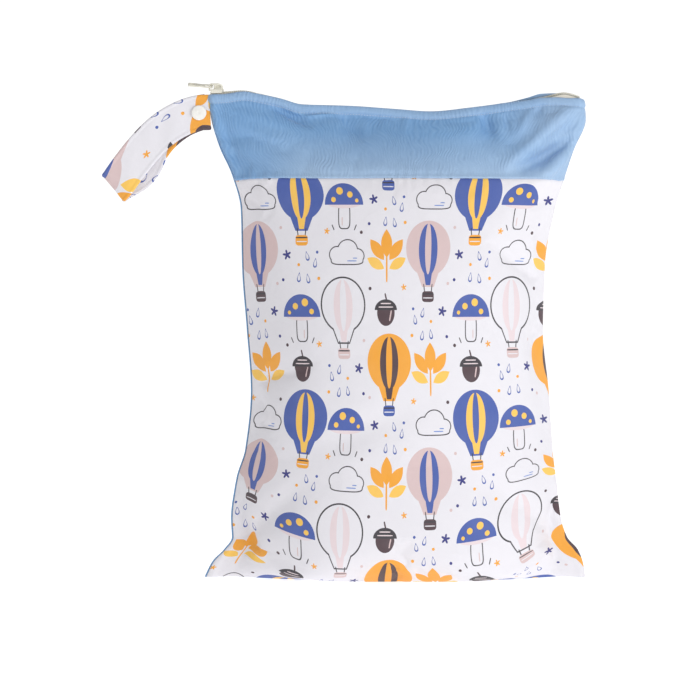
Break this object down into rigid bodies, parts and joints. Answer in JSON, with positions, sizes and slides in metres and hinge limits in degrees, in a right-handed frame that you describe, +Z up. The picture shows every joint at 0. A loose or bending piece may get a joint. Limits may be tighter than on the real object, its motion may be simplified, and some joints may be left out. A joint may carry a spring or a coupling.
{
  "type": "zipped cloth wet bag",
  "caption": "Stuffed cloth wet bag with a printed front, a plain top band, a zip along its mouth and a snap strap loop at the side.",
  "frame": {"origin": "underside of the printed front panel, at the middle of the flattened bottom the bag stands on", "axes": "+Z up, -Y towards the printed front, +X to the right as seen from the front"},
  "size_m": [0.3863, 0.1237, 0.3978],
  "materials": {
    "printed_cloth": "smooth knit print on off-white waterproof cloth",
    "blue_cloth": "soft light blue cloth with a faint sheen",
    "cream_tape": "woven cream zip tape",
    "cream_plastic": "moulded cream nylon",
    "snap_plastic": "smooth off-white moulded snap"
  },
  "bodies": {
    "bag": {"front_panel": "printed_cloth", "front_band": "blue_cloth", "back_panel": "blue_cloth", "zip_tape_front": "cream_tape", "zip_tape_back": "cream_tape", "zip_coil": "cream_plastic", "zip_slider": "cream_plastic", "strap": "printed_cloth", "snap_cap": "snap_plastic", "snap_core": "snap_plastic", "snap_cap_rear": "snap_plastic"},
    "pull": {"zip_pull": "cream_plastic"}
  },
  "joints": [
    {"name": "pull_hinge", "type": "hinge", "parent": "bag", "child": "pull", "pos_m": [-0.1476, 0, 0.39457], "axis": [0, 1, 0], "range_deg": [0, 125]}
  ]
}
